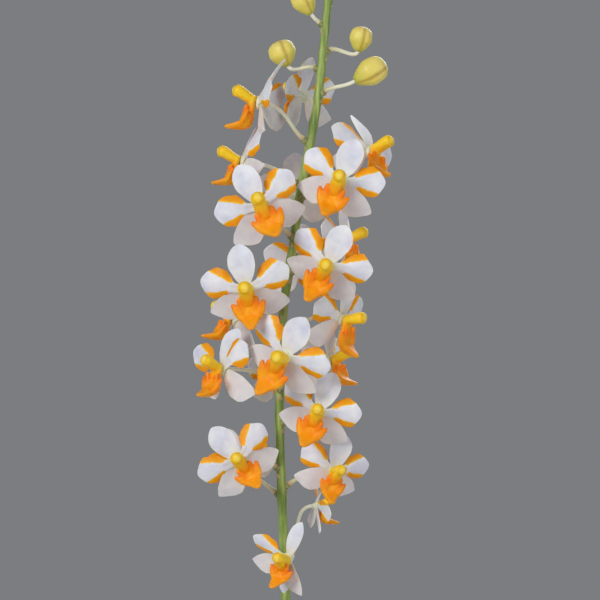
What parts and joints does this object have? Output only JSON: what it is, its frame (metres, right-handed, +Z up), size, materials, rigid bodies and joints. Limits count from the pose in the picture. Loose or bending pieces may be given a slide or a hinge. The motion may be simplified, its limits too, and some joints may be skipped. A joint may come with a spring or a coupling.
{
  "type": "potted vandaenopsis orchid",
  "caption": "Orchid in a plain terracotta pot: strap leaves, thick pale roots and one tall spike crowded with small white flowers whose petal edges, columns and lips are orange.",
  "frame": {"origin": "centre of the pot's underside", "axes": "+Z up the plant, -Y towards the viewer of the flower spike, +X to that viewer's right"},
  "size_m": [0.3274, 0.115, 0.5441],
  "materials": {
    "pot": "matte",
    "bark": "matte",
    "root": "matte",
    "leaf": "satin",
    "spike": "satin",
    "bud": "satin",
    "tepal": "satin",
    "lip": "satin"
  },
  "bodies": {
    "root": {"pot": "pot", "potting_bark": "bark", "stem_and_roots": "root", "flower_spike": "spike", "leaf_1": "leaf", "leaf_2": "leaf", "leaf_3": "leaf", "leaf_4": "leaf", "leaf_5": "leaf", "bud_1": "bud", "bud_2": "bud", "bud_3": "bud", "bud_4": "bud", "bud_5": "bud", "flower_01_tepals": "tepal", "flower_01_lip": "lip", "flower_02_tepals": "tepal", "flower_02_lip": "lip", "flower_03_tepals": "tepal", "flower_03_lip": "lip", "flower_04_tepals": "tepal", "flower_04_lip": "lip", "flower_05_tepals": "tepal", "flower_05_lip": "lip", "flower_06_tepals": "tepal", "flower_06_lip": "lip", "flower_07_tepals": "tepal", "flower_07_lip": "lip", "flower_08_tepals": "tepal", "flower_08_lip": "lip", "flower_09_tepals": "tepal", "flower_09_lip": "lip", "flower_10_tepals": "tepal", "flower_10_lip": "lip", "flower_11_tepals": "tepal", "flower_11_lip": "lip", "flower_12_tepals": "tepal", "flower_12_lip": "lip", "flower_13_tepals": "tepal", "flower_13_lip": "lip", "flower_14_tepals": "tepal", "flower_14_lip": "lip", "flower_15_tepals": "tepal", "flower_15_lip": "lip", "flower_16_tepals": "tepal", "flower_16_lip": "lip", "flower_17_tepals": "tepal", "flower_17_lip": "lip", "flower_18_tepals": "tepal", "flower_18_lip": "lip", "flower_19_tepals": "tepal", "flower_19_lip": "lip", "flower_20_tepals": "tepal", "flower_20_lip": "lip", "flower_21_tepals": "tepal", "flower_21_lip": "lip", "flower_22_tepals": "tepal", "flower_22_lip": "lip", "flower_23_tepals": "tepal", "flower_23_lip": "lip"}
  },
  "joints": []
}
